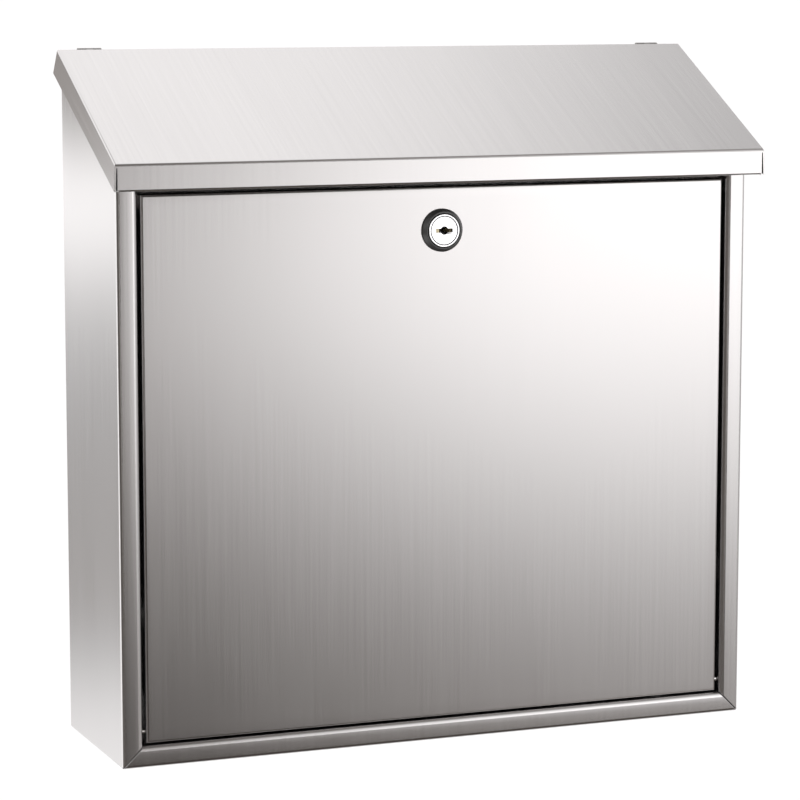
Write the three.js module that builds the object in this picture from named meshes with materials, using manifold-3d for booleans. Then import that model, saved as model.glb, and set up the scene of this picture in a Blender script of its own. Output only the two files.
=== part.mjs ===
// Wall letter box folded from thin stainless sheet: a box with a sloped drop-over lid that hinges at
// the wall, and a framed front door that hinges on two pins at its foot and closes with a cam lock.
// Millimetres. +X runs to the right along the front, +Y points at the wall, +Z is up.
// The origin is on the back panel's wall side, midway between its four fixing holes.

import * as THREE from 'three';
import { mergeVertices } from 'three/addons/utils/BufferGeometryUtils.js';
import Module from 'manifold-3d';

const wasm = await Module();
wasm.setup();

// ---------- driving dimensions ----------

const gap = 0.3; // between pieces that touch, or that are welded together

// Sheet
const sheet = 0.8;
const bend = 2.0; // outside radius of the folds, where no other is given
const bendSegments = 3;

// Box
const bodyWidth = 360;
const bodyDepth = 100;
const footRadius = 1.5; // outside radius where the sides fold into the floor
const sideLipWidth = 10; // inward lip along the top of each side wall
const sideLipInset = 24; // from the wall, and from the front, to the ends of that lip

// Front frame, folded from the sides and the floor
const frameWidth = 11.5;
const frameReturn = 15; // depth of the rolled-in edge behind the frame's face
const frameRoll = 2.8; // outside radius where the frame rolls into the opening
const mitreSeam = 0.4;

// Lid
const lidRearHeight = 371.5; // from the floor's underside to the top of the lid's rear edge
const lidSlope = THREE.MathUtils.degToRad(27.5);
const lidRearSetback = 7.6; // from the wall to the lid's rear edge
const lidFrontOverhang = 13.3;
const lidSideOverhang = 4.3;
const lipHeight = 13.8; // front lip, outside
const lipReturn = 6; // safety fold along the lip's lower edge
const lidFlangeRear = 14.2; // side flange's height at its rear end, square to the slope
const lidFlangeRearStep = 6.5; // how far its lower rear corner reaches behind the lid's rear edge
const lidBend = 1.0;
const cornerSeam = 0.35;

// Back panel
const backFlange = 12;
const backTopFlange = 14;
const backFlangeInset = 16; // from the panel's lower edge and its top to the ends of the side flanges
const fixingFromSide = 50;
const fixingFromFloor = 60;
const fixingFromTop = 61.5; // from the lid's rear edge down to the upper holes
const fixingHoleRadius = 3.5;

// Lintel over the door
const lintelTopFlange = 12;
const stopLipHeight = 9;
const stopClearance = 1.0; // from the door's rear edge to the stop lip

// Door
const doorSideGap = 2.0;
const doorBottomGap = 1.0;
const doorBelowLip = 2.8; // from the lid lip's lower edge down to the door's top edge
const lintelAboveDoor = 1.2;
const doorRecess = 1.5; // behind the frame's face
const doorDepth = 12;
const doorBend = 1.4; // outside radius of the door's folds

// Door pivot pins
const pivotBehindFace = 3.5;
const pivotAboveEdge = 6;
const pivotRadius = 1.5;
const pivotHeadRadius = 3.0;
const pivotHeadHeight = 1.5;
const pivotEngagement = 3; // past the door's side flange

// Lid hinges
const hingeLength = 13;
const hingeInset = 12.4; // from the lid's end to the hinge
const hingeLeafThickness = 1.0;
const hingeLeafWidth = 17;
const knuckleRadius = 1.9;
const hingePinRadius = 1.0;
const knuckleBehindEdge = 3.1; // from the lid's rear edge to the hinge's axis, along the slope

// Lid buffers
const bufferRadius = 4;
const bufferInset = 40; // from the side of the box

// Cam lock
const lockBelowDoorTop = 23.1;
const plugRadius = 6.0;
const plugHeadLedge = 1.6; // the plug's head beyond its body
const plugHeadRecess = 1.5; // depth of the recess that the plug's head turns in
const barrelWall = 1.8; // around the plug's bore
const barrelFlatCut = 1.0; // from the barrel's round down to each of its two flats
const headLedge = 0.7; // the housing's head beyond its barrel
const headProud = 0.4; // the head in front of the collar
const collarHeight = 3.2;
const collarWall = 0.7; // at the collar's front edge
const collarTaper = 1.7; // its base beyond its front edge
const keywayLength = 9.6;
const keywayHeight = 2.1;
const keywayDepth = 13;
const keyHoleRadius = 2.25;
const washerThickness = 0.8;
const nutThickness = 3.5;
const nutWall = 2.7; // from its bore to each flat
const camThickness = 2;
const camLength = 27; // from the lock's axis to the tip
const camHubWall = 2.6; // from the corner of its square hole to its round
const camTipWidth = 12;
const camBehindLip = 0.6;
const camSquare = 7;
const camScrewRadius = 1.9;
const waferCount = 4;
const waferThickness = 0.8;
const waferPitch = 2.6;
const waferShoulder = 2.6; // how much of each wafer shows at the keyway's left end

// ---------- places that follow from them ----------

const halfWidth = bodyWidth / 2;
const front = -bodyDepth;
const openingHalfWidth = halfWidth - frameWidth;
const lidHalfWidth = halfWidth + lidSideOverhang;
const lidFront = front - lidFrontOverhang;

// Height at depth y of a line under the lid's outer face and parallel to it.
function slopeHeight(y, below) {
  return lidRearHeight + (y + lidRearSetback) * Math.tan(lidSlope) - below / Math.cos(lidSlope);
}

const fixingHeights = [fixingFromFloor, lidRearHeight - fixingFromTop];
const fixingCentreHeight = (fixingHeights[0] + fixingHeights[1]) / 2;

const lipBottom = slopeHeight(lidFront, 0) - lipHeight;
const doorHalfWidth = openingHalfWidth - doorSideGap;
const doorFace = front + doorRecess;
const doorBottom = frameWidth + doorBottomGap;
const doorTop = lipBottom - doorBelowLip;
const doorRear = doorFace + doorDepth;
const lintelBottom = doorTop + lintelAboveDoor;
const stopLipFront = doorRear + stopClearance;
const lockHeight = doorTop - lockBelowDoorTop;

// Lock, outward from the plug
const barrelRadius = plugRadius + gap + barrelWall;
const barrelFlat = barrelRadius - barrelFlatCut;
const plugHeadRadius = plugRadius + plugHeadLedge;
const headRadius = barrelRadius + headLedge;
const headHeight = collarHeight + headProud;
const collarFrontRadius = headRadius + gap + collarWall;
const collarRadius = collarFrontRadius + collarTaper;
const nutAcrossFlats = 2 * (barrelRadius + gap + nutWall);
const camHole = camSquare + 2 * gap;
const camHubRadius = camHole / Math.SQRT2 + camHubWall;

// Along the lock's axis, from the door's outer face
const camFront = stopLipFront + sheet + camBehindLip - doorFace;
const barrelRear = camFront - gap;
const tailRear = camFront + camThickness - 0.2;

// Square to the slope, from the lid's outer face. The top of the box under the lid is parallel to
// it, and the closed hinges fit between the two.
const topSink = sheet + gap + 2 * knuckleRadius + gap;
const lidLeafTop = -(sheet + gap);
const bodyLeafBottom = -(topSink - gap);
const hingeAxisDepth = (lidLeafTop + bodyLeafBottom) / 2;

// ---------- materials ----------

const finish = (color, roughness, metalness) => () =>
  new THREE.MeshStandardMaterial({ color, roughness, metalness });

const brushedSteel = finish(0xb9b6b4, 0.34, 1);
const blackPlastic = finish(0x1c1b1b, 0.45, 0);
const chrome = finish(0xe4e4e6, 0.12, 1);
const zincSteel = finish(0xa9a9a6, 0.38, 1);
const brass = finish(0xc8a45c, 0.35, 1);
const rubber = finish(0x222222, 0.85, 0);

// ---------- solids ----------

// A closed three.js geometry as a solid that can be cut and joined.
function solid(geometry) {
  const bare = new THREE.BufferGeometry();
  bare.setAttribute('position', geometry.getAttribute('position'));
  bare.setIndex(geometry.index);
  const merged = mergeVertices(bare, 1e-4);
  const index = merged.index.array;
  const triangles = [];
  for (let i = 0; i < index.length; i += 3) {
    const [a, b, c] = [index[i], index[i + 1], index[i + 2]];
    if (a !== b && b !== c && c !== a) triangles.push(a, b, c);
  }
  return new wasm.Manifold(new wasm.Mesh({
    numProp: 3,
    vertProperties: merged.getAttribute('position').array,
    triVerts: new Uint32Array(triangles),
  }));
}

// A cut or joined solid as a three.js geometry.
function geometryOf(body) {
  const { vertProperties, triVerts } = body.getMesh();
  const geometry = new THREE.BufferGeometry();
  geometry.setAttribute('position', new THREE.BufferAttribute(new Float32Array(vertProperties), 3));
  geometry.setIndex(new THREE.BufferAttribute(new Uint32Array(triVerts), 1));
  geometry.computeVertexNormals();
  return geometry;
}

const shapeOf = (points) => new THREE.Shape(points.map(([a, b]) => new THREE.Vector2(a, b)));

function extruded(shape, depth) {
  const settings = { depth, bevelEnabled: false, curveSegments: bendSegments };
  return new THREE.ExtrudeGeometry(shape, settings);
}

// A shape drawn in X and Y, from one height to another.
function upright(shape, from, to) {
  return extruded(shape, to - from).translate(0, 0, from);
}

// A shape drawn in X and Z, from one depth to another.
function inward(shape, from, to) {
  return extruded(shape, to - from).rotateX(Math.PI / 2).translate(0, to, 0);
}

// A shape drawn in Y and Z, from one side to the other.
function across(shape, from, to) {
  const turn = new THREE.Matrix4().makeBasis(
    new THREE.Vector3(0, 1, 0),
    new THREE.Vector3(0, 0, 1),
    new THREE.Vector3(1, 0, 0),
  );
  return extruded(shape, to - from).applyMatrix4(turn).translate(from, 0, 0);
}

function block([x0, x1], [y0, y1], [z0, z1]) {
  return new THREE.BoxGeometry(x1 - x0, y1 - y0, z1 - z0)
    .translate((x0 + x1) / 2, (y0 + y1) / 2, (z0 + z1) / 2);
}

// A turned piece about the Y axis: its outline is a list of [radius, y].
function turned(outline, segments = 40) {
  const points = outline.map(([radius, y]) => new THREE.Vector2(radius, y));
  const lathe = new THREE.LatheGeometry(points, segments);
  return lathe;
}

// A rod along the Y axis.
const rod = (radius, from, to, segments = 32) =>
  turned([[0, from], [radius, from], [radius, to], [0, to]], segments);

// Moves a geometry from the lid's sloped frame, where -Y runs down the slope, to the box's.
function onSlope(geometry) {
  return geometry.rotateX(lidSlope).translate(0, -lidRearSetback, lidRearHeight);
}

// The outline of a strip of sheet bent at each inner corner of its middle line.
function bentStrip(corners, radius = bend) {
  const middle = radius - sheet / 2;
  const stations = [];
  const add = (x, y, normal) => stations.push({ x, y, nx: normal[0], ny: normal[1] });
  const heading = (a, b) => Math.atan2(b[1] - a[1], b[0] - a[0]);
  const normalAt = (angle) => [-Math.sin(angle), Math.cos(angle)];
  const last = corners.length - 1;
  add(...corners[0], normalAt(heading(corners[0], corners[1])));
  for (let i = 1; i < last; i++) {
    const before = heading(corners[i - 1], corners[i]);
    const after = heading(corners[i], corners[i + 1]);
    const turn = Math.atan2(Math.sin(after - before), Math.cos(after - before));
    const side = Math.sign(turn);
    const run = middle * Math.tan(Math.abs(turn) / 2);
    const startX = corners[i][0] - run * Math.cos(before);
    const startY = corners[i][1] - run * Math.sin(before);
    const [nx, ny] = normalAt(before);
    const centreX = startX + side * middle * nx;
    const centreY = startY + side * middle * ny;
    const steps = 2 * bendSegments;
    for (let k = 0; k <= steps; k++) {
      const normal = normalAt(before + (turn * k) / steps);
      add(centreX - side * middle * normal[0], centreY - side * middle * normal[1], normal);
    }
  }
  add(...corners[last], normalAt(heading(corners[last - 1], corners[last])));
  const half = sheet / 2;
  const left = stations.map((s) => [s.x + half * s.nx, s.y + half * s.ny]);
  const right = stations.map((s) => [s.x - half * s.nx, s.y - half * s.ny]);
  return shapeOf([...left, ...right.reverse()]);
}

// One profile of a block seen along its face: a span from low to high, and a depth from front to
// back, with its front edges rounded off, or flared out when the radius is negative.
function faceProfile(low, high, frontDepth, backDepth, radius) {
  const r = Math.abs(radius);
  const out = Math.sign(radius);
  const shape = new THREE.Shape();
  shape.moveTo(low, backDepth);
  shape.lineTo(low, frontDepth + r);
  if (out > 0) {
    shape.absarc(low + r, frontDepth + r, r, Math.PI, 1.5 * Math.PI, false);
    shape.absarc(high - r, frontDepth + r, r, 1.5 * Math.PI, 2 * Math.PI, false);
  } else {
    shape.absarc(low - r, frontDepth + r, r, 0, -Math.PI / 2, true);
    shape.lineTo(low - r, frontDepth - 1);
    shape.lineTo(high + r, frontDepth - 1);
    shape.absarc(high + r, frontDepth + r, r, 1.5 * Math.PI, Math.PI, true);
  }
  shape.lineTo(high, backDepth);
  return shape;
}

// A block whose four front edges are all rounded or flared, with mitred corners.
function facedBlock(half, low, high, frontDepth, backDepth, radius) {
  const reach = Math.abs(radius) + 2;
  const plan = faceProfile(-half, half, frontDepth, backDepth, radius);
  const side = faceProfile(low, high, frontDepth, backDepth, radius);
  const turn = new THREE.Matrix4().makeBasis(
    new THREE.Vector3(0, 0, 1),
    new THREE.Vector3(0, 1, 0),
    new THREE.Vector3(-1, 0, 0),
  );
  const sideBlock = extruded(side, 2 * (half + reach)).applyMatrix4(turn).translate(half + reach, 0, 0);
  return solid(upright(plan, low - reach, high + reach)).intersect(solid(sideBlock));
}

// Everything above a line parallel to the lid.
function aboveSlope(below) {
  const [near, far] = [-2 * bodyDepth, bodyDepth];
  const high = lidRearHeight + bodyDepth;
  const outline = [
    [near, slopeHeight(near, below)], [far, slopeHeight(far, below)], [far, high + far], [near, high + far],
  ];
  return solid(across(shapeOf(outline), -bodyWidth, bodyWidth));
}

// ---------- box ----------

// Sides, floor and front frame, folded from one sheet.
function bodyShellGeometry() {
  const top = lidRearHeight + bodyDepth / 2; // before the slope is cut
  const foot = (inset) => {
    const r = footRadius - inset;
    const [low, high] = [-halfWidth + inset, halfWidth - inset];
    const outline = new THREE.Shape();
    outline.moveTo(low, 2 * top);
    outline.lineTo(low, inset + r);
    outline.absarc(low + r, inset + r, r, Math.PI, 1.5 * Math.PI, false);
    outline.absarc(high - r, inset + r, r, 1.5 * Math.PI, 2 * Math.PI, false);
    outline.lineTo(high, 2 * top);
    return solid(inward(outline, front - bend, bend));
  };
  const outside = facedBlock(halfWidth, 0, top, front, 0, bend).intersect(foot(0));
  const inside = facedBlock(halfWidth - sheet, sheet, 2 * top, front + sheet, sheet, bend - sheet)
    .intersect(foot(sheet));
  const opening = facedBlock(openingHalfWidth, frameWidth, 3 * top, front, bend, -frameRoll);
  const returnOutside = facedBlock(openingHalfWidth + sheet, frameWidth - sheet, 3 * top,
    front + sheet, front + frameReturn, -(frameRoll - sheet));
  const rolledEdge = returnOutside.intersect(outside).subtract(opening);
  let shell = outside.subtract(inside).subtract(opening).add(rolledEdge);

  for (const side of [-1, 1]) {
    // Mitre seam from the outer corner to the opening's corner, through the frame and its return
    const seam = (from, to, depth) => {
      const bar = block([from * Math.SQRT2, to * Math.SQRT2], [front - 1, front + depth],
        [-mitreSeam / 2, mitreSeam / 2]).rotateY(-Math.PI / 4);
      if (side > 0) bar.rotateZ(Math.PI).translate(0, 2 * front + depth - 1, 0);
      return solid(bar.translate(side * halfWidth, 0, 0));
    };
    shell = shell.subtract(seam(-1, frameWidth + 1, bend));
    shell = shell.subtract(seam(frameWidth - sheet - gap, frameWidth + 1, frameReturn + 1));

    // Hole for the door's pivot pin
    const hole = rod(pivotRadius + gap, -sheet - 1, sheet + 1, 24).rotateZ(Math.PI / 2)
      .translate(side * (openingHalfWidth + sheet / 2), doorFace + pivotBehindFace,
        doorBottom + pivotAboveEdge);
    shell = shell.subtract(solid(hole));
  }

  // Inward lips along the tops of the sides
  shell = shell.subtract(aboveSlope(topSink));
  const lipRun = (bodyDepth - 2 * sideLipInset) / Math.cos(lidSlope);
  const lipRear = -(sideLipInset - lidRearSetback) / Math.cos(lidSlope);
  for (const side of [-1, 1]) {
    const wall = side * (halfWidth - sheet / 2);
    const lip = bentStrip([
      [wall, -topSink - 2 * bend], [wall, -topSink - sheet / 2],
      [side * (halfWidth - sideLipWidth), -topSink - sheet / 2],
    ]);
    const room = block([wall - bend, wall + bend], [lipRear - lipRun, lipRear], [-topSink - bend, 0]);
    shell = shell.subtract(solid(onSlope(room)));
    shell = shell.add(solid(onSlope(inward(lip, lipRear - lipRun, lipRear))));
  }
  return geometryOf(shell);
}

// Back panel with folded edges, and the flange along its top that carries the lid's hinges.
function backPanelGeometry() {
  const half = halfWidth - sheet - gap;
  const low = sheet + gap;
  const topCorner = slopeHeight(-sheet / 2, topSink + sheet / 2);
  const flangeEnd = -backTopFlange * Math.cos(lidSlope);
  const profile = bentStrip([
    [-backFlange, low + sheet / 2], [-sheet / 2, low + sheet / 2], [-sheet / 2, topCorner],
    [flangeEnd, slopeHeight(flangeEnd, topSink + sheet / 2)],
  ]);
  let panel = solid(across(profile, -half + bend, half - bend));
  for (const side of [-1, 1]) {
    const edge = side * (half - sheet / 2);
    const flange = bentStrip([
      [side * (half - 3 * bend), -sheet / 2], [edge, -sheet / 2], [edge, -backFlange],
    ]);
    panel = panel.add(solid(upright(flange, low + backFlangeInset, topCorner - backFlangeInset)));
  }
  for (const side of [-1, 1]) {
    for (const height of fixingHeights) {
      const hole = rod(fixingHoleRadius, -sheet - 1, 1, 28)
        .translate(side * (halfWidth - fixingFromSide), 0, height);
      panel = panel.subtract(solid(hole));
    }
  }
  return geometryOf(panel);
}

// Lintel: stop lip for the cam, underside over the door, face, and a flange parallel to the lid.
function lintelGeometry() {
  const half = openingHalfWidth - gap;
  const face = front + sheet / 2;
  const topCorner = slopeHeight(face, topSink + sheet / 2);
  const flangeEnd = front + lintelTopFlange;
  const profile = bentStrip([
    [stopLipFront + sheet / 2, lintelBottom - stopLipHeight],
    [stopLipFront + sheet / 2, lintelBottom + sheet / 2],
    [face, lintelBottom + sheet / 2],
    [face, topCorner],
    [flangeEnd, slopeHeight(flangeEnd, topSink + sheet / 2)],
  ]);
  return across(profile, -half, half);
}

// Pivot pin on the right: a shank through the frame's return into the door, its head behind.
function pivotPinGeometry() {
  const tip = -(doorSideGap + sheet + pivotEngagement);
  const seat = sheet + gap;
  const outline = [
    [0, tip], [pivotRadius - 0.4, tip], [pivotRadius, tip + 0.4], [pivotRadius, seat],
    [pivotHeadRadius, seat], [pivotHeadRadius, seat + 0.8],
    [pivotHeadRadius - 1, seat + pivotHeadHeight], [0, seat + pivotHeadHeight],
  ];
  return turned(outline, 24).rotateZ(-Math.PI / 2);
}

// ---------- door ----------

// Door skin: a shallow tray, open at the back, with the lock's hole and the pivot holes.
function doorPanelGeometry() {
  const outside = facedBlock(doorHalfWidth, doorBottom, doorTop, doorFace, doorRear, doorBend);
  const inside = facedBlock(doorHalfWidth - sheet, doorBottom + sheet, doorTop - sheet,
    doorFace + sheet, doorRear + bend, doorBend - sheet);
  let panel = outside.subtract(inside);
  const lockHole = solid(rod(barrelRadius + gap, -1, sheet + 1, 48))
    .intersect(solid(block([-barrelFlat - gap, barrelFlat + gap], [-2, sheet + 2],
      [-2 * barrelRadius, 2 * barrelRadius])));
  const cut = geometryOf(lockHole).translate(0, doorFace, lockHeight);
  panel = panel.subtract(solid(cut));
  const pivotHole = rod(pivotRadius + gap, -bodyWidth, bodyWidth, 24).rotateZ(Math.PI / 2)
    .translate(0, doorFace + pivotBehindFace, doorBottom + pivotAboveEdge);
  panel = panel.subtract(solid(pivotHole));
  return geometryOf(panel);
}

// ---------- cam lock, about the Y axis from the door's outer face ----------

function collarGeometry() {
  const shoulder = -(gap + 1.2);
  return turned([
    [barrelRadius + gap, -gap], [barrelRadius + gap, shoulder], [headRadius + gap, shoulder],
    [headRadius + gap, -collarHeight + 0.3], [headRadius + gap + 0.2, -collarHeight],
    [collarFrontRadius, -collarHeight], [collarFrontRadius + 0.4, -collarHeight + 0.4],
    [collarRadius, -1.0], [collarRadius, -gap], [barrelRadius + gap, -gap],
  ], 72);
}

function housingGeometry() {
  const headRear = -(gap + 1.2) - gap;
  const recess = -headHeight + plugHeadRecess;
  const tube = turned([
    [plugHeadRadius + gap, -headHeight], [headRadius - 0.25, -headHeight],
    [headRadius, -headHeight + 0.25], [headRadius, headRear], [barrelRadius, headRear],
    [barrelRadius, barrelRear], [plugRadius + gap, barrelRear], [plugRadius + gap, recess],
    [plugHeadRadius + gap, recess], [plugHeadRadius + gap, -headHeight],
  ], 72);
  const flats = solid(block([-barrelFlat, barrelFlat], [0, barrelRear + 1],
    [-2 * barrelRadius, 2 * barrelRadius]));
  const head = solid(block([-2 * headRadius, 2 * headRadius], [-2 * headHeight, 0],
    [-2 * headRadius, 2 * headRadius]));
  return geometryOf(solid(tube).intersect(flats.add(head)));
}

function toothedWasherGeometry() {
  const teeth = 12;
  const inner = barrelRadius + gap;
  const shape = new THREE.Shape();
  for (let i = 0; i < 2 * teeth; i++) {
    const radius = i % 2 ? collarRadius - 1.4 : collarRadius;
    const angle = (Math.PI * i) / teeth;
    const point = [radius * Math.cos(angle), radius * Math.sin(angle)];
    if (i === 0) shape.moveTo(...point);
    else shape.lineTo(...point);
  }
  shape.holes.push(new THREE.Path().absarc(0, 0, inner, 0, 2 * Math.PI, false));
  const washer = { depth: washerThickness, bevelEnabled: false, curveSegments: 18 };
  return new THREE.ExtrudeGeometry(shape, washer).rotateX(Math.PI / 2)
    .translate(0, sheet + gap + washerThickness, 0);
}

function nutGeometry() {
  const from = sheet + 2 * gap + washerThickness;
  const corner = nutAcrossFlats / Math.sqrt(3);
  const hexagon = turned([[0, from], [corner, from], [corner, from + nutThickness],
    [0, from + nutThickness]], 6);
  const chamfer = turned([
    [0, from - 1], [corner, from - 1], [corner, from + nutThickness - 1],
    [corner - 1.8, from + nutThickness + 0.2], [0, from + nutThickness + 0.2],
  ], 48);
  const bore = rod(barrelRadius + gap, from - 1, from + nutThickness + 1, 48);
  return geometryOf(solid(hexagon).intersect(solid(chamfer)).subtract(solid(bore)));
}

// Plug with its keyway, the pockets for the wafers, and the square tail that carries the cam.
function plugGeometry() {
  const face = -headHeight + 0.15;
  const shoulder = -headHeight + plugHeadRecess - gap;
  const bodyRear = barrelRear - 0.6;
  let plug = solid(turned([
    [0, face], [plugHeadRadius - 0.25, face], [plugHeadRadius, face + 0.25],
    [plugHeadRadius, shoulder], [plugRadius, shoulder], [plugRadius, bodyRear], [0, bodyRear],
  ], 72));
  const tail = camSquare / 2;
  plug = plug.add(solid(block([-tail, tail], [bodyRear - 1, tailRear], [-tail, tail])));
  plug = plug.subtract(solid(block([-keywayLength / 2, keywayLength / 2],
    [face - 1, face + keywayDepth], [-keywayHeight / 2, keywayHeight / 2])));
  plug = plug.subtract(solid(rod(keyHoleRadius, face - 1, face + 1.5, 40)));
  const pocket = waferPocket();
  for (let i = 0; i < waferCount; i++) {
    const middle = waferDepth(i);
    plug = plug.subtract(solid(block([-plugHeadRadius, plugHeadRadius],
      [middle - pocket.thickness / 2, middle + pocket.thickness / 2],
      [-pocket.height / 2, pocket.height / 2])));
  }
  const screwHole = rod(camScrewRadius + gap, tailRear - 4.2, tailRear + 1, 20);
  return geometryOf(plug.subtract(solid(screwHole)));
}

const waferDepth = (i) => -1.2 + waferPitch * i;

function waferPocket() {
  return { height: plugRadius + gap, thickness: waferThickness + 2 * gap };
}

// One sliding wafer: a brass plate with a window that the key passes through.
function waferGeometry() {
  const halfHeight = waferPocket().height / 2 - gap;
  const halfLength = Math.sqrt(plugRadius ** 2 - halfHeight ** 2) - 0.1;
  const [windowLeft, windowRight] = [waferShoulder - keywayLength / 2, keywayLength / 2 - 1];
  const windowZ = keywayHeight / 2 + 0.4;
  const plate = shapeOf([
    [-halfLength, -halfHeight], [halfLength, -halfHeight],
    [halfLength, halfHeight], [-halfLength, halfHeight],
  ]);
  const window = shapeOf([
    [windowLeft, -windowZ], [windowRight, -windowZ], [windowRight, windowZ], [windowLeft, windowZ],
  ]);
  plate.holes.push(window);
  return inward(plate, -waferThickness / 2, waferThickness / 2);
}

// Cam: a flat finger on the plug's square tail. At rest it lies level, clear of the stop lip.
function camGeometry() {
  const tip = camTipWidth / 2;
  const shape = new THREE.Shape();
  shape.absarc(0, 0, camHubRadius, 0.35 * Math.PI, 1.65 * Math.PI, false);
  shape.lineTo(camLength - 2, -tip);
  shape.absarc(camLength - 2, -tip + 2, 2, -Math.PI / 2, 0, false);
  shape.absarc(camLength - 2, tip - 2, 2, 0, Math.PI / 2, false);
  const hole = camHole / 2;
  shape.holes.push(shapeOf([[-hole, -hole], [hole, -hole], [hole, hole], [-hole, hole]]));
  const plate = { depth: camThickness, bevelEnabled: false, curveSegments: 8 };
  return new THREE.ExtrudeGeometry(shape, plate).rotateX(Math.PI / 2)
    .translate(0, camFront + camThickness, 0);
}

function camWasherGeometry() {
  const from = camFront + camThickness + gap;
  const [inner, outer] = [camScrewRadius + gap, 6];
  return turned([[inner, from], [outer, from], [outer, from + 0.8], [inner, from + 0.8],
    [inner, from]], 32);
}

function camScrewGeometry() {
  const seat = camFront + camThickness + 2 * gap + 0.8;
  const screw = turned([
    [0, tailRear - 3.8], [camScrewRadius, tailRear - 3.8], [camScrewRadius, seat], [3.8, seat],
    [3.8, seat + 1.2], [3, seat + 2.1], [1.6, seat + 2.5], [0, seat + 2.5],
  ], 28);
  const slot = block([-5, 5], [seat + 1.4, seat + 4], [-0.5, 0.5]);
  return geometryOf(solid(screw).subtract(solid(slot)));
}

// ---------- lid ----------

// Lid: sloped top, side flanges and front lip, with an open seam at each front corner.
function lidGeometry() {
  const outline = (inset) => {
    const rear = -lidRearSetback + (inset ? 2 * backFlange : 0);
    const [rearTop, frontTop] = [slopeHeight(rear, inset), slopeHeight(lidFront + inset, inset)];
    const cornerRear = -lidRearSetback + lidFlangeRearStep;
    const cornerHeight = lidRearHeight - lidFlangeRear * Math.cos(lidSlope);
    const drop = inset ? bodyDepth : 0;
    return shapeOf([
      [rear, rearTop], [inset ? rear : cornerRear, cornerHeight - drop],
      [lidFront + inset, lipBottom - drop], [lidFront + inset, frontTop - lidBend],
      [lidFront + inset + lidBend * 0.3, frontTop - lidBend * 0.35],
      [lidFront + inset + lidBend, slopeHeight(lidFront + inset + lidBend, inset)],
    ]);
  };
  const roof = (inset) => {
    const half = lidHalfWidth - inset;
    const r = lidBend - inset;
    const shape = new THREE.Shape();
    shape.moveTo(-half, -2 * bodyDepth);
    shape.lineTo(half, -2 * bodyDepth);
    shape.lineTo(half, -inset - r);
    shape.absarc(half - r, -inset - r, r, 0, Math.PI / 2, false);
    shape.absarc(-half + r, -inset - r, r, Math.PI / 2, Math.PI, false);
    return solid(onSlope(inward(shape, -3 * bodyDepth, bodyDepth)));
  };
  const skin = (inset) => {
    const half = lidHalfWidth - inset;
    return solid(across(outline(inset), -half, half)).intersect(roof(inset));
  };
  let lid = skin(0).subtract(skin(sheet));

  // Safety fold along the lip's lower edge
  const face = lidFront + sheet / 2;
  const fold = bentStrip([
    [face, lipBottom + 2 * bend], [face, lipBottom + sheet / 2],
    [lidFront + lipReturn, lipBottom + sheet / 2],
  ], lidBend);
  const foldHalf = lidHalfWidth - 2 * sheet - cornerSeam;
  const heel = block([-foldHalf, foldHalf], [lidFront - 1, lidFront + sheet + 0.5],
    [lipBottom - 1, lipBottom + lidBend]);
  lid = lid.subtract(solid(heel)).add(solid(across(fold, -foldHalf, foldHalf)));

  for (const side of [-1, 1]) {
    const edge = side * (lidHalfWidth - sheet);
    const seam = block([edge - cornerSeam / 2, edge + cornerSeam / 2].sort((a, b) => a - b),
      [lidFront - 1, lidFront + sheet + 0.5],
      [lipBottom - 2, lipBottom + lipHeight - lidBend - sheet]);
    lid = lid.subtract(solid(seam.translate(-side * cornerSeam, 0, 0)));
  }
  return geometryOf(lid);
}

// ---------- lid hinges, in the lid's sloped frame, about the hinge's own middle ----------

// One leaf with its knuckles: the lid's leaf has the middle one, the box's leaf the outer two.
function hingeLeafGeometry(onLid) {
  const knuckle = hingeLength / 3;
  const face = onLid ? lidLeafTop : bodyLeafBottom;
  const plane = onLid
    ? [face - hingeLeafThickness, face]
    : [face, face + hingeLeafThickness];
  const half = hingeLength / 2;
  const clear = knuckleRadius + gap;
  const root = knuckleBehindEdge;
  let leaf = solid(block([-half, half], [root - hingeLeafWidth, root - clear], plane));
  const spans = onLid
    ? [[-knuckle / 2 + gap, knuckle / 2 - gap]]
    : [[-half, -knuckle / 2], [knuckle / 2, half]];
  for (const [from, to] of spans) {
    const arm = block([from, to], [root - clear - 1, root], plane);
    const tube = rod(knuckleRadius, from, to, 28).rotateZ(-Math.PI / 2)
      .translate(0, root, hingeAxisDepth);
    leaf = leaf.add(solid(arm)).add(solid(tube));
  }
  const bore = rod(hingePinRadius + gap, -hingeLength, hingeLength, 20).rotateZ(-Math.PI / 2)
    .translate(0, root, hingeAxisDepth);
  return geometryOf(leaf.subtract(solid(bore)));
}

function hingePinGeometry() {
  const half = hingeLength / 2 + 0.5;
  return turned([
    [0, -half], [hingePinRadius - 0.25, -half], [hingePinRadius, -half + 0.25],
    [hingePinRadius, half - 0.25], [hingePinRadius - 0.25, half], [0, half],
  ], 20).rotateZ(-Math.PI / 2);
}

// Rubber buffer on the lintel's flange: the closed lid rests on it.
function bufferGeometry() {
  const [low, high] = [-topSink + gap, -sheet - gap];
  return turned([
    [0, low], [bufferRadius, low], [bufferRadius, high - 1], [bufferRadius - 0.5, high - 0.3],
    [bufferRadius - 1.4, high], [0, high],
  ], 28).rotateX(Math.PI / 2);
}

// ---------- assembly ----------

function piece(name, geometry, material, x = 0, y = 0, z = 0) {
  const mesh = new THREE.Mesh(geometry, material());
  mesh.name = name;
  mesh.position.set(x, y, z);
  return mesh;
}

const letterBox = new THREE.Group();
letterBox.position.z = -fixingCentreHeight;

letterBox.add(
  piece('body_shell', bodyShellGeometry(), brushedSteel),
  piece('back_panel', backPanelGeometry(), brushedSteel),
  piece('door_lintel', lintelGeometry(), brushedSteel),
  piece('door_panel', doorPanelGeometry(), brushedSteel),
  piece('lid_cover', lidGeometry(), brushedSteel),
);

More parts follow.
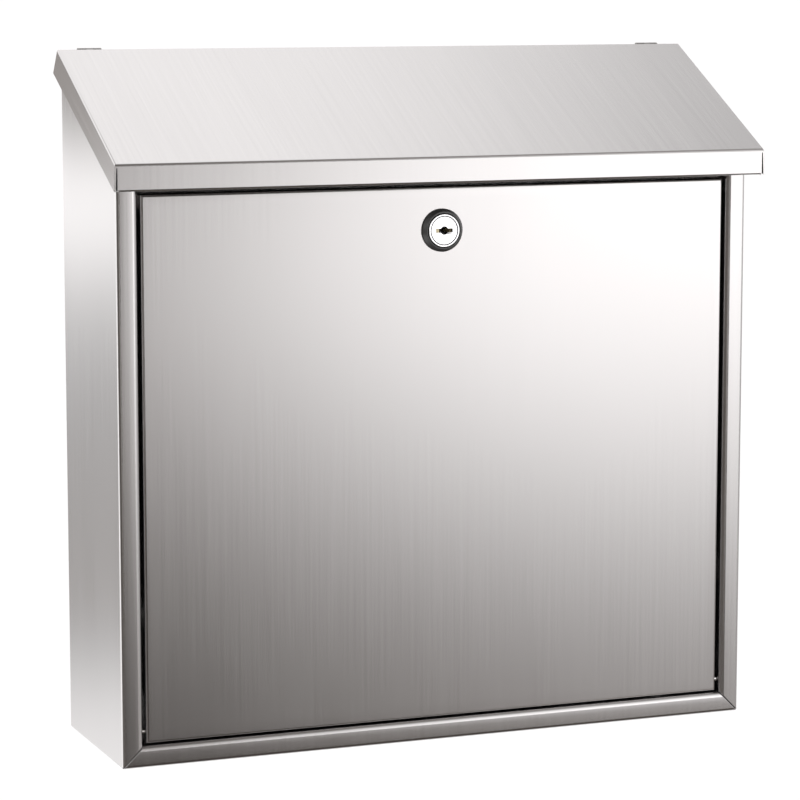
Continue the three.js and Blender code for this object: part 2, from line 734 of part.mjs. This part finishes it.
const pivotDepth = doorFace + pivotBehindFace;
const pivotHeight = doorBottom + pivotAboveEdge;
const rightPin = piece('door_pivot_pin_right', pivotPinGeometry(), zincSteel,
  openingHalfWidth, pivotDepth, pivotHeight);
const leftPin = piece('door_pivot_pin_left', pivotPinGeometry(), zincSteel,
  -openingHalfWidth, pivotDepth, pivotHeight);
leftPin.rotation.z = Math.PI;
letterBox.add(rightPin, leftPin);

const lock = new THREE.Group();
lock.position.set(0, doorFace, lockHeight);
lock.add(
  piece('lock_collar', collarGeometry(), blackPlastic),
  piece('lock_housing', housingGeometry(), chrome),
  piece('lock_washer', toothedWasherGeometry(), zincSteel),
  piece('lock_nut', nutGeometry(), zincSteel),
  piece('lock_plug', plugGeometry(), chrome),
  piece('lock_cam', camGeometry(), zincSteel),
  piece('cam_washer', camWasherGeometry(), zincSteel),
  piece('cam_screw', camScrewGeometry(), zincSteel),
);
for (let i = 0; i < waferCount; i++) {
  lock.add(piece(`lock_wafer_${i + 1}`, waferGeometry(), brass, 0, waferDepth(i), 0));
}
letterBox.add(lock);

const bufferFromFront = (bend + lintelTopFlange) / 2; // the middle of the flange's flat
const slope = new THREE.Group();
slope.position.set(0, -lidRearSetback, lidRearHeight);
slope.rotation.x = lidSlope;
for (const [end, side] of [['left', -1], ['right', 1]]) {
  const hingeX = side * (lidHalfWidth - hingeInset - hingeLength / 2);
  slope.add(
    piece(`lid_hinge_leaf_lid_${end}`, hingeLeafGeometry(true), zincSteel, hingeX),
    piece(`lid_hinge_leaf_box_${end}`, hingeLeafGeometry(false), zincSteel, hingeX),
    piece(`lid_hinge_pin_${end}`, hingePinGeometry(), zincSteel,
      hingeX, knuckleBehindEdge, hingeAxisDepth),
    piece(`lid_buffer_${end}`, bufferGeometry(), rubber, side * (halfWidth - bufferInset),
      -(bodyDepth - lidRearSetback - bufferFromFront) / Math.cos(lidSlope), 0),
  );
}
letterBox.add(slope);

export default letterBox;
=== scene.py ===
"""A brushed stainless wall letter box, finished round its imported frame: the folded box and its framed
door with a cam lock, the sloped lid on its two hinges, and a studio whose graded walls they mirror."""

import math

import bmesh
import bpy
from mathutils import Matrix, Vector


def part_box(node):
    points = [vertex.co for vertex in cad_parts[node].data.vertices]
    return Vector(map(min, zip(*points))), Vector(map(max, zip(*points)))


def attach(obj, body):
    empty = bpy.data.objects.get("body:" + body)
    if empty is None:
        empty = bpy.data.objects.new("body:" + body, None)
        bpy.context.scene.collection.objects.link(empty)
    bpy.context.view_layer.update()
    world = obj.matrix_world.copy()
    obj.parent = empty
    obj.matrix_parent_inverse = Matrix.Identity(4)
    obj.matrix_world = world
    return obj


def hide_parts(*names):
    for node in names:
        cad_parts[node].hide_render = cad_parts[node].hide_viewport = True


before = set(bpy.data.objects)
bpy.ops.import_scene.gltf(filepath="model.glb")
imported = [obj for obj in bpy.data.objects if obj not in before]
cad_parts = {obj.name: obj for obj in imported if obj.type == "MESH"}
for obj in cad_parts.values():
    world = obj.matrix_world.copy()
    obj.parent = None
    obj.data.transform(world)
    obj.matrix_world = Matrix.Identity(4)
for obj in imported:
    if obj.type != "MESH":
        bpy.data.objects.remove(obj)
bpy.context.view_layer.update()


# ---------------------------------------------------------------------------------------------
# Body shell: both sides, the floor and the front frame, folded from one blank of 0.8 mm stainless
# sheet and brushed upright. The frame is rolled back into the opening.
# ---------------------------------------------------------------------------------------------

MM = 0.001


class Wire:
    """A socket of a material's nodes. Operators on it add Math nodes, and node() adds any other."""

    def __init__(self, tree, socket=None):
        self.tree = tree
        self.socket = socket

    def node(self, kind, settings=None, inputs=None, out=0):
        """Adds a node with its settings, then its inputs, each a plain value or another Wire."""
        made = self.tree.nodes.new("ShaderNode" + kind)
        for name, value in (settings or {}).items():
            if name == "stops":
                ramp = made.color_ramp.elements
                while len(ramp) < len(value):
                    ramp.new(1)
                for stop, (place, grey) in zip(ramp, value):
                    stop.position = place
                    stop.color = (grey, grey, grey, 1)
            else:
                setattr(made, name, value)
        for name, value in (inputs or {}).items():
            if isinstance(value, Wire):
                self.tree.links.new(value.socket, made.inputs[name])
            else:
                made.inputs[name].default_value = value
        return Wire(self.tree, made.outputs[out])

    def math(self, operation, first, second):
        return self.node("Math", {"operation": operation}, {0: first, 1: second})

    def __add__(self, other):
        return self.math("ADD", self, other)

    def __sub__(self, other):
        return self.math("SUBTRACT", self, other)

    def __mul__(self, other):
        return self.math("MULTIPLY", self, other)

    def __rsub__(self, other):
        return self.math("SUBTRACT", other, self)

    __radd__, __rmul__ = __add__, __mul__

    def blend(self, low, high):
        """One colour socket turned into the other as this value goes from 0 to 1. The Mix node's
        colour sockets share their names with its plain ones, so they go by number."""
        return self.node("Mix", {"data_type": "RGBA"}, {0: self, 6: low, 7: high}, out=2)

    def tint(self, low, high):
        """The colour between two, as this value goes from 0 to 1."""
        return self.blend((*low, 1), (*high, 1))


def new_finish(name):
    """A material with only its output, and a Wire to build its nodes with."""
    finish = bpy.data.materials.new(name)
    finish.use_nodes = True
    tree = finish.node_tree
    tree.nodes.clear()
    tree.nodes.new("ShaderNodeOutputMaterial")
    return finish, Wire(tree)


def surface(wires, constants, varying):
    """Closes a material with one Principled shader: constants on its own sockets, the rest linked."""
    shader = wires.tree.nodes.new("ShaderNodeBsdfPrincipled")
    for name, value in constants.items():
        shader.inputs[name].default_value = value
    for name, wire in varying.items():
        wires.tree.links.new(wire.socket, shader.inputs[name])
    output = wires.tree.nodes["Material Output"]
    wires.tree.links.new(shader.outputs[0], output.inputs["Surface"])


def rise(value, start, end, way="SMOOTHSTEP"):
    """From 0 to 1, as a value goes from start to end, and no further."""
    return value.node("MapRange", {"interpolation_type": way},
                      {"Value": value, "From Min": start, "From Max": end, "To Min": 0.0, "To Max": 1.0})


SCRATCH_DEPTH = 0.01 * MM


def brushed_stainless(name, light, dark, roughness):
    """Satin stainless, in streaks per metre of the sheet. Its grain coordinates run across the
    brushing in X and along it in Y."""
    finish, w = new_finish(name)
    grain = w.node("UVMap", {"uv_map": "grain"})

    def streaks(across, along, detail, seed):
        place = w.node("Mapping", {}, {"Vector": grain, "Location": (seed, seed, 0),
                                       "Scale": (across, along, 1)})
        return w.node("TexNoise", {"noise_dimensions": "2D"},
                      {"Vector": place, "Scale": 1.0, "Detail": detail, "Roughness": 0.6})

    hair = streaks(across=2600, along=14, detail=2, seed=3.1)
    scratch = streaks(across=520, along=5, detail=3, seed=11.7)
    cloud = streaks(across=22, along=6, detail=2, seed=5.3)
    tone = 0.34 * hair + 0.42 * scratch + 0.24 * cloud
    relief = w.node("Bump", {}, {"Strength": 0.1, "Distance": SCRATCH_DEPTH,
                                 "Height": 0.7 * hair + 0.5 * scratch})
    contrast = rise(tone, 0.32, 0.68, "LINEAR")
    surface(w, {"Metallic": 1.0, "Anisotropic": 0.5}, {
        "Base Color": contrast.tint(dark, light),
        "Roughness": roughness - 0.015 + 0.03 * contrast,
        "Normal": relief,
    })
    return finish


NEARLY_SQUARE = 0.3  # how little of the brushing's direction a face keeps when it lies across it


def lay_grain(mesh, along):
    """Unfolds each face's place in the sheet: metres across the brushing, and metres along it. On a
    face that lies square to the brushing, the grain runs from front to back."""
    layer = mesh.uv_layers.new(name="grain")
    for face in mesh.polygons:
        run = Vector(along) - Vector(along).dot(face.normal) * face.normal
        if run.length < NEARLY_SQUARE:
            run = Vector((0, 1, 0)) - face.normal.y * face.normal
        run.normalize()
        cross = face.normal.cross(run)
        for loop in face.loop_indices:
            place = mesh.vertices[mesh.loops[loop].vertex_index].co
            layer.data[loop].uv = (cross.dot(place), run.dot(place))


SAME_POINT = 0.002 * MM
SAME_PLANE = math.radians(0.5)
CREASE = math.radians(40)
PANEL_AREA = 0.0005  # a front face smaller than this, in square metres, keeps its shading
EVEN_WEIGHT, FLAT_WEIGHT = 50, 80


def finished(node, body, finish, along=(0, 0, 1), edge=0.12 * MM, crown=0):
    """The piece that stands for a CAD node: whole flat faces, smooth bends and deburred edges. Its
    front starts to curve a little before each fold, over the width given as its crown."""
    work = bmesh.new()
    work.from_mesh(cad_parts[node].data)
    bmesh.ops.remove_doubles(work, verts=work.verts, dist=SAME_POINT)
    bmesh.ops.dissolve_limit(work, angle_limit=SAME_PLANE, verts=work.verts, edges=work.edges)
    if crown:
        work.normal_update()
        fronts = [face for face in work.faces if face.normal.y < -0.99 and face.calc_area() > PANEL_AREA]
        bmesh.ops.inset_region(work, faces=fronts, thickness=crown, use_even_offset=True)
    mesh = bpy.data.meshes.new(node + "_finished")
    work.to_mesh(mesh)
    work.free()
    mesh.shade_smooth()
    mesh.set_sharp_from_angle(angle=CREASE)
    lay_grain(mesh, along)
    piece = bpy.data.objects.new(node + "_finished", mesh)
    bpy.context.scene.collection.objects.link(piece)
    mesh.materials.append(finish)
    if edge:
        bevel = piece.modifiers.new("deburred", "BEVEL")
        bevel.width = edge
        bevel.segments = 2
        bevel.limit_method = "ANGLE"
        bevel.angle_limit = CREASE
        bevel.use_clamp_overlap = False
        bevel.miter_outer = "MITER_ARC"
    weight = piece.modifiers.new("flat_faces", "WEIGHTED_NORMAL")
    weight.mode = "FACE_AREA"
    weight.keep_sharp = True
    weight.weight = EVEN_WEIGHT if crown else FLAT_WEIGHT
    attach(piece, body)
    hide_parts(node)
    return piece


stainless = brushed_stainless("stainless", light=(0.665, 0.65, 0.648), dark=(0.615, 0.60, 0.598),
                              roughness=0.20)
finished("body_shell", "box", stainless, edge=0.3 * MM, crown=3 * MM)


# ---------------------------------------------------------------------------------------------
# Back panel: a tray of the same sheet, its edges folded forward and welded inside the shell, with
# four holes for the wall screws and a flange along the top that carries the lid's hinges.
# ---------------------------------------------------------------------------------------------

finished("back_panel", "box", stainless)


# ---------------------------------------------------------------------------------------------
# Lintel: a folded strip of the sheet, welded between the sides over the door. The lid's buffers
# sit on its flange, and its rear lip stops the lock's cam.
# ---------------------------------------------------------------------------------------------

finished("door_lintel", "box", stainless)


# ---------------------------------------------------------------------------------------------
# Door: a shallow tray of the same sheet, brushed upright like the shell and folded on all four
# sides. It stands a little behind the frame, and turns on two pins at its foot.
# ---------------------------------------------------------------------------------------------

finished("door_panel", "door", stainless, crown=5 * MM)


# ---------------------------------------------------------------------------------------------
# Door pivot pins: turned from steel rod and polished. Each has its head behind the frame's return,
# and its shank goes through the return into the door's side.
# ---------------------------------------------------------------------------------------------


MARK_DEPTH = 0.02 * MM
# The colour of the painted shade in recesses.
RECESS_SHADE_COLOUR = (0.05, 0.05, 0.05, 1)


def turned_metal(name, light, dark, roughness, recess_shade=None):
    """Bare or plated metal with fine turning marks and a slightly uneven shine. Where two places along Y
    are given, the metal between them is painted dark: painted shade in a recess, standing in for the shadow
    there."""
    finish, w = new_finish(name)
    place = w.node("TexCoord", out="Object")
    marks = w.node("TexNoise", {}, {"Vector": place, "Scale": 1800.0, "Detail": 2.0})
    haze = w.node("TexNoise", {}, {"Vector": place, "Scale": 240.0, "Detail": 3.0})
    relief = w.node("Bump", {}, {"Strength": 0.12, "Distance": MARK_DEPTH, "Height": marks})
    colour = haze.tint(dark, light)
    if recess_shade:
        # Painted shade: the colour is darkened between the two depths, for the shade inside the recess.
        depth = w.node("SeparateXYZ", {}, {"Vector": place}, out="Y")
        shallow, deep = (w.math("GREATER_THAN", depth, limit) for limit in recess_shade)
        colour = (shallow - deep).blend(colour, RECESS_SHADE_COLOUR)
    surface(w, {"Metallic": 1.0}, {
        "Base Color": colour,
        "Roughness": roughness - 0.04 + 0.08 * haze,
        "Normal": relief,
    })
    return finish


polished = turned_metal("polished_pin", light=(0.78, 0.77, 0.76), dark=(0.66, 0.65, 0.64), roughness=0.14)
for end in ("left", "right"):
    finished("door_pivot_pin_" + end, "box", polished, edge=0)


# ---------------------------------------------------------------------------------------------
# Cam lock: a black moulded collar, a chromed housing and plug, and stamped brass wafers. Behind the
# door a nut on a toothed washer holds it, and a screw and washer hold its cam, all zinc plated.
# ---------------------------------------------------------------------------------------------


def moulded(name, light, dark, roughness):
    """A dense, moulded black part with a faint grain."""
    finish, w = new_finish(name)
    place = w.node("TexCoord", out="Object")
    skin = w.node("TexNoise", {}, {"Vector": place, "Scale": 2600.0, "Detail": 2.0})
    wear = w.node("TexNoise", {}, {"Vector": place, "Scale": 180.0, "Detail": 3.0})
    relief = w.node("Bump", {}, {"Strength": 0.15, "Distance": MARK_DEPTH, "Height": skin})
    surface(w, {"IOR": 1.9}, {
        "Base Color": wear.tint(dark, light),
        "Roughness": roughness - 0.05 + 0.1 * wear,
        "Normal": relief,
    })
    return finish


lock_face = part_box("lock_housing")[0].y
# The lock's chrome is painted dark from just behind its face to the keyway's foot: painted shade for the
# key hole and the ring round the plug.
UNSHADED_RIM, KEYWAY_FOOT = 0.15 * MM, 3.2 * MM

black = moulded("black_collar", light=(0.030, 0.030, 0.030), dark=(0.016, 0.016, 0.016), roughness=0.36)
chrome = turned_metal("lock_chrome", light=(0.90, 0.90, 0.91), dark=(0.84, 0.84, 0.85), roughness=0.16,
                      recess_shade=(lock_face + UNSHADED_RIM, lock_face + KEYWAY_FOOT))
zinc = turned_metal("zinc_plate", light=(0.64, 0.64, 0.61), dark=(0.50, 0.50, 0.48), roughness=0.34)
brass = turned_metal("wafer_brass", light=(0.95, 0.86, 0.62), dark=(0.80, 0.68, 0.42), roughness=0.45)

finished("lock_collar", "door", black, edge=0)
finished("lock_housing", "door", chrome, edge=0)
finished("lock_washer", "door", zinc)
finished("lock_nut", "door", zinc)
finished("lock_plug", "lock", chrome, edge=0)
for wafer in range(1, 5):
    finished(f"lock_wafer_{wafer}", "lock", brass, edge=0.06 * MM)
finished("lock_cam", "lock", zinc)
finished("cam_washer", "lock", zinc, edge=0)
finished("cam_screw", "lock", zinc, edge=0)


# ---------------------------------------------------------------------------------------------
# Lid hinges: two small steel butt hinges, one leaf welded under the lid and one on the box's
# top flange, on a plain pin.
# ---------------------------------------------------------------------------------------------

hinge_steel = turned_metal("hinge_steel", light=(0.40, 0.39, 0.38), dark=(0.26, 0.25, 0.24), roughness=0.42)
for end in ("left", "right"):
    finished("lid_hinge_leaf_box_" + end, "box", hinge_steel, edge=0)
    finished("lid_hinge_leaf_lid_" + end, "lid", hinge_steel, edge=0)
    finished("lid_hinge_pin_" + end, "box", polished, edge=0)


# ---------------------------------------------------------------------------------------------
# Lid: one sheet folded down at both sides and at the front, open at the corners of the lip. Its
# brushing runs up the slope, and its side flanges spring out a little from square.
# ---------------------------------------------------------------------------------------------

SLOPE = math.radians(27.5)
SPRING_BACK = math.radians(2.5)
FLANGE_SKIN, FLANGE_BEND = 1.2 * MM, 1.0 * MM
lid = finished("lid_cover", "lid", stainless,
               along=(0, math.cos(SLOPE), math.sin(SLOPE)))
outward = Vector((0, -math.sin(SLOPE), math.cos(SLOPE)))
lid_top = max(outward.dot(corner.co) for corner in lid.data.vertices)
lid_half = max(corner.co.x for corner in lid.data.vertices)
for corner in lid.data.vertices:
    drop = lid_top - outward.dot(corner.co) - FLANGE_BEND
    if abs(corner.co.x) > lid_half - FLANGE_SKIN and drop > 0:
        corner.co.x += math.copysign(drop * math.tan(SPRING_BACK), corner.co.x)
# The shader takes the brushing's direction from the texture space, so its middle is moved far back.
lid.data.use_auto_texspace = False
lid.data.texspace_location = (0, 50, 0)
lid.data.texspace_size = (1, 1, 1)


# ---------------------------------------------------------------------------------------------
# Lid buffers: two moulded rubber buttons, stuck on the lintel's flange. The closed lid rests on
# them.
# ---------------------------------------------------------------------------------------------

rubber = moulded("buffer_rubber", light=(0.040, 0.040, 0.040), dark=(0.020, 0.020, 0.020), roughness=0.8)
for end in ("left", "right"):
    finished("lid_buffer_" + end, "box", rubber, edge=0)


# ---------------------------------------------------------------------------------------------
# Studio: a pale floor well below the box, whose door has to swing down, and a room of graded walls
# that only the metal mirrors, which gives the sheet its light and dark. Then a camera with a long lens.
# ---------------------------------------------------------------------------------------------

FLOOR_HALF, FLOOR_DROP = 150, 1.1
corners = [(-1, -1), (1, -1), (1, 1), (-1, 1)]
floor_mesh = bpy.data.meshes.new("floor")
floor_mesh.from_pydata([(FLOOR_HALF * x, FLOOR_HALF * y, -FLOOR_DROP) for x, y in corners], [],
                       [range(len(corners))])
floor = bpy.data.objects.new("floor", floor_mesh)
bpy.context.scene.collection.objects.link(floor)
paper, w = new_finish("pale_paper")
fibres = w.node("TexNoise", {}, {"Vector": w.node("TexCoord", out="Object"), "Scale": 900.0, "Detail": 3.0})
surface(w, {"Roughness": 0.9}, {"Base Color": fibres.tint((0.90, 0.90, 0.90), (0.94, 0.94, 0.94))})
floor_mesh.materials.append(paper)
floor.visible_glossy = False

world = bpy.data.worlds.new("studio")
world.use_nodes = True
bpy.context.scene.world = world
world.node_tree.nodes.clear()
w = Wire(world.node_tree)
direction = w.node("TexCoord", out="Generated")
right, back, up = (w.node("SeparateXYZ", {}, {"Vector": direction}, out=axis) for axis in "XYZ")


def graded(along, stops):
    """Brightness along one of the directions, from stops that give the place, -1 to 1, and the value,
    0 to 2. The ramp itself runs from 0 to 1 in both."""
    scaled = [(0.5 + 0.5 * place, bright / 2) for place, bright in stops]
    return 2 * along.node("ValToRGB", {"stops": scaled}, {"Fac": 0.5 + 0.5 * along})


# The front wall is bright above and dark at the foot. A slanting edge leaves its left side in shade,
# with a darker strip that the folds pick up, and a second shade lies over the top on that side.
front_wall = graded(up, [
    (-1, 0.5), (-0.6, 0.35), (-0.42, 0.28), (-0.32, 0.45), (-0.275, 0.48), (-0.25, 0.27), (-0.235, 0.24),
    (-0.2, 0.50), (-0.169, 0.94), (-0.137, 1.43), (-0.08, 1.85), (0.3, 1.6), (0.6, 1.1), (0.85, 0.35),
    (1, 0.3)])
lit_side = 0.2 + 1.12 * rise(right + 0.4 * up, 0.206, 0.355)
right_shade = 1 - 0.3 * rise(right, 0.38, 0.58)
upper_left_shade = 1 - 0.8 * rise(up, -0.076, -0.060) * rise(right, 0.42, 0.29)
dark_strip = graded(right, [
    (-1, 1.0), (-0.3, 1.0), (-0.1, 2.4), (0.02, 1.0), (0.10, 0.3), (0.17, 0.3), (0.27, 1.0), (1, 1.0)])
front_wall = front_wall * lit_side * right_shade * upper_left_shade * dark_strip

# The back wall has a bright band just below the horizon and another high up, dimmer at the right.
back_wall = graded(up, [
    (-1, 0.7), (-0.26, 1.2), (-0.235, 1.15), (-0.222, 0.8), (-0.205, 0.43), (-0.169, 0.47), (-0.137, 0.52),
    (-0.106, 0.78), (-0.09, 1.3), (-0.075, 1.6), (-0.062, 1.55), (-0.05, 0.4), (0, 0.3), (0.3, 0.8),
    (0.6, 1.2), (0.83, 1.33), (0.93, 0.9), (1, 0.4)])
back_wall = back_wall * (1 - 0.62 * rise(right, 0.33, 0.52) * rise(up, 0.5, 0.7))

# The left wall is dark at the horizon, with a tall white panel towards the back.
PANEL = 1.6
left_wall = graded(up, [
    (-1, 0.6), (-0.5, 1.1), (-0.38, 1.0), (-0.3, 0.2), (-0.24, 0.1), (0, 0.1), (0.15, 0.9), (0.5, 1.3),
    (0.85, 0.6), (1, 0.4)])
on_panel = rise(back, -0.04, 0.12) * rise(up, -0.6, -0.4) * rise(up, 0.8, 0.5)
left_wall = left_wall + (PANEL - left_wall) * on_panel

# The right wall gets brighter with height, and is never quite black.
right_wall = w.math("MAXIMUM", 0.8 + 1.4 * up, 0.02)

in_front = rise(back, 0.15, -0.15)
at_left = rise(right, -0.45, -0.6)
at_right = rise(right, 0.7, 0.85)
room = front_wall * in_front + back_wall * (1 - in_front)
room = room * (1 - at_left) + left_wall * at_left
room = room + (right_wall - room) * at_right

# What isn't mirrored sees plain white. The darker the mirrored room, the warmer it is.
WHITE = 1.12
mirrored = w.node("LightPath", out="Is Glossy Ray")
brightness = room * mirrored + WHITE * (1 - mirrored)
warmth = rise(room, 0.6, 0.15) * mirrored
colour = warmth.tint((1.01, 1.0, 1.0), (1.12, 1.0, 0.91))
light = w.node("VectorMath", {"operation": "MULTIPLY"}, {0: colour, 1: brightness})
background = w.node("Background", {}, {"Color": light, "Strength": 1.0})
output = world.node_tree.nodes.new("ShaderNodeOutputWorld")
world.node_tree.links.new(background.socket, output.inputs["Surface"])

YAW, PITCH = 0.37618, 0.13765
camera_data = bpy.data.cameras.new("camera")
camera_data.lens = 141.07
camera = bpy.data.objects.new("camera", camera_data)
camera.location = (-0.63103, -1.63551, 0.23082)
looking = Vector((math.sin(YAW) * math.cos(PITCH), math.cos(YAW) * math.cos(PITCH), -math.sin(PITCH)))
camera.rotation_euler = looking.to_track_quat("-Z", "Y").to_euler()
bpy.context.scene.collection.objects.link(camera)
bpy.context.scene.camera = camera
bpy.context.scene.view_settings.view_transform = "Standard"
